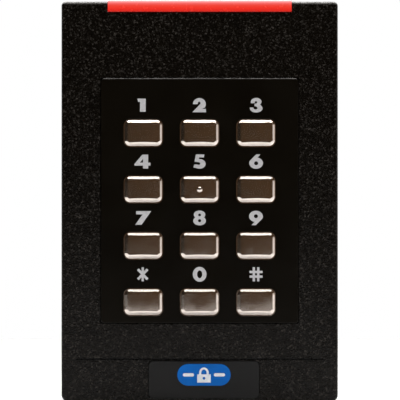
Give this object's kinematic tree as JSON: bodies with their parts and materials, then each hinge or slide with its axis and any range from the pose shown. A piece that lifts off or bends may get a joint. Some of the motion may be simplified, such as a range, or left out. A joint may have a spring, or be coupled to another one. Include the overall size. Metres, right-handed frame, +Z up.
{
  "type": "keypad access reader",
  "caption": "Wall-mounted access reader with a metal-key keypad, a red light bar on top, an antenna and electronics inside, and a hook-on mounting plate with a lock screw.",
  "frame": {"origin": "on the wall face of the mounting plate, midway between its two single-gang wall-box holes", "axes": "+X to the right seen from the front, +Y into the wall (the front faces -Y), +Z up"},
  "size_m": [0.0844, 0.0287, 0.1227],
  "materials": {
    "housing_plastic": "fine spark texture",
    "plate_plastic": "plain moulded",
    "faceplate_plastic": "smooth satin",
    "key_metal": "polished",
    "lens_red": "translucent, lit from behind",
    "guide_clear": "clear acrylic, frosted faces",
    "led_white": "moulded",
    "board_green": "solder mask",
    "chip_black": "moulded epoxy",
    "tinned_metal": "drawn can",
    "can_aluminium": "satin",
    "contact_gold": "gold plated",
    "insert_brass": "turned",
    "screw_steel": "zinc plated",
    "lock_screw_steel": "stainless",
    "mat_silicone": "translucent grey silicone",
    "pill_carbon": "matt",
    "gasket_rubber": "foam",
    "adhesive_foam": "acrylic foam tape",
    "coil_copper": "enamelled copper wire",
    "ferrite_grey": "sintered sheet under film",
    "badge_plastic": "smooth",
    "emblem_blue": "smooth",
    "terminal_green": "moulded"
  },
  "bodies": {
    "wall_plate": {"mounting_plate": "plate_plastic", "lock_insert": "insert_brass", "lock_screw": "lock_screw_steel"},
    "reader": {"housing": "housing_plastic", "rear_cover": "plate_plastic", "faceplate": "faceplate_plastic", "faceplate_adhesive": "adhesive_foam", "light_bar_lens": "lens_red", "light_guide": "guide_clear", "led_board": "board_green", "status_leds": "led_white", "badge_inlay": "badge_plastic", "badge_emblem": "emblem_blue", "keypad_mat": "mat_silicone", "keypad_board": "board_green", "contact_pads": "contact_gold", "keypad_board_screws": "screw_steel", "main_board_screws": "screw_steel", "rear_cover_screws": "screw_steel", "antenna_coil": "coil_copper", "ferrite_sheet": "ferrite_grey", "main_board": "board_green", "processor_chip": "chip_black", "radio_chip": "chip_black", "crystal_can": "tinned_metal", "capacitors": "can_aluminium", "power_inductor": "ferrite_grey", "sounder": "chip_black", "board_header": "chip_black", "board_socket": "chip_black", "terminal_strip_left": "terminal_green", "terminal_strip_right": "terminal_green", "terminal_screws": "screw_steel", "tamper_sensor": "chip_black", "rear_gasket": "gasket_rubber"},
    "button_1": {"key_1": "key_metal", "contact_pill_1": "pill_carbon"},
    "button_2": {"key_2": "key_metal", "contact_pill_2": "pill_carbon"},
    "button_3": {"key_3": "key_metal", "contact_pill_3": "pill_carbon"},
    "button_4": {"key_4": "key_metal", "contact_pill_4": "pill_carbon"},
    "button_5": {"key_5": "key_metal", "contact_pill_5": "pill_carbon"},
    "button_6": {"key_6": "key_metal", "contact_pill_6": "pill_carbon"},
    "button_7": {"key_7": "key_metal", "contact_pill_7": "pill_carbon"},
    "button_8": {"key_8": "key_metal", "contact_pill_8": "pill_carbon"},
    "button_9": {"key_9": "key_metal", "contact_pill_9": "pill_carbon"},
    "button_0": {"key_0": "key_metal", "contact_pill_0": "pill_carbon"},
    "button_star": {"key_star": "key_metal", "contact_pill_star": "pill_carbon"},
    "button_hash": {"key_hash": "key_metal", "contact_pill_hash": "pill_carbon"}
  },
  "joints": [
    {"name": "reader_tilt", "type": "hinge", "parent": "wall_plate", "child": "reader", "pos_m": [0, -0.0046, 0.055], "axis": [-1, 0, 0], "range_deg": [0, 20]},
    {"name": "key_1_press", "type": "slide", "parent": "reader", "child": "button_1", "axis": [0, 1, 0], "range_m": [0, 0.0009], "stiffness_N_per_m": 600, "springref_m": -0.0005, "deforming": ["keypad_mat"]},
    {"name": "key_2_press", "type": "slide", "parent": "reader", "child": "button_2", "axis": [0, 1, 0], "range_m": [0, 0.0009], "stiffness_N_per_m": 600, "springref_m": -0.0005, "deforming": ["keypad_mat"]},
    {"name": "key_3_press", "type": "slide", "parent": "reader", "child": "button_3", "axis": [0, 1, 0], "range_m": [0, 0.0009], "stiffness_N_per_m": 600, "springref_m": -0.0005, "deforming": ["keypad_mat"]},
    {"name": "key_4_press", "type": "slide", "parent": "reader", "child": "button_4", "axis": [0, 1, 0], "range_m": [0, 0.0009], "stiffness_N_per_m": 600, "springref_m": -0.0005, "deforming": ["keypad_mat"]},
    {"name": "key_5_press", "type": "slide", "parent": "reader", "child": "button_5", "axis": [0, 1, 0], "range_m": [0, 0.0009], "stiffness_N_per_m": 600, "springref_m": -0.0005, "deforming": ["keypad_mat"]},
    {"name": "key_6_press", "type": "slide", "parent": "reader", "child": "button_6", "axis": [0, 1, 0], "range_m": [0, 0.0009], "stiffness_N_per_m": 600, "springref_m": -0.0005, "deforming": ["keypad_mat"]},
    {"name": "key_7_press", "type": "slide", "parent": "reader", "child": "button_7", "axis": [0, 1, 0], "range_m": [0, 0.0009], "stiffness_N_per_m": 600, "springref_m": -0.0005, "deforming": ["keypad_mat"]},
    {"name": "key_8_press", "type": "slide", "parent": "reader", "child": "button_8", "axis": [0, 1, 0], "range_m": [0, 0.0009], "stiffness_N_per_m": 600, "springref_m": -0.0005, "deforming": ["keypad_mat"]},
    {"name": "key_9_press", "type": "slide", "parent": "reader", "child": "button_9", "axis": [0, 1, 0], "range_m": [0, 0.0009], "stiffness_N_per_m": 600, "springref_m": -0.0005, "deforming": ["keypad_mat"]},
    {"name": "key_0_press", "type": "slide", "parent": "reader", "child": "button_0", "axis": [0, 1, 0], "range_m": [0, 0.0009], "stiffness_N_per_m": 600, "springref_m": -0.0005, "deforming": ["keypad_mat"]},
    {"name": "key_star_press", "type": "slide", "parent": "reader", "child": "button_star", "axis": [0, 1, 0], "range_m": [0, 0.0009], "stiffness_N_per_m": 600, "springref_m": -0.0005, "deforming": ["keypad_mat"]},
    {"name": "key_hash_press", "type": "slide", "parent": "reader", "child": "button_hash", "axis": [0, 1, 0], "range_m": [0, 0.0009], "stiffness_N_per_m": 600, "springref_m": -0.0005, "deforming": ["keypad_mat"]}
  ]
}
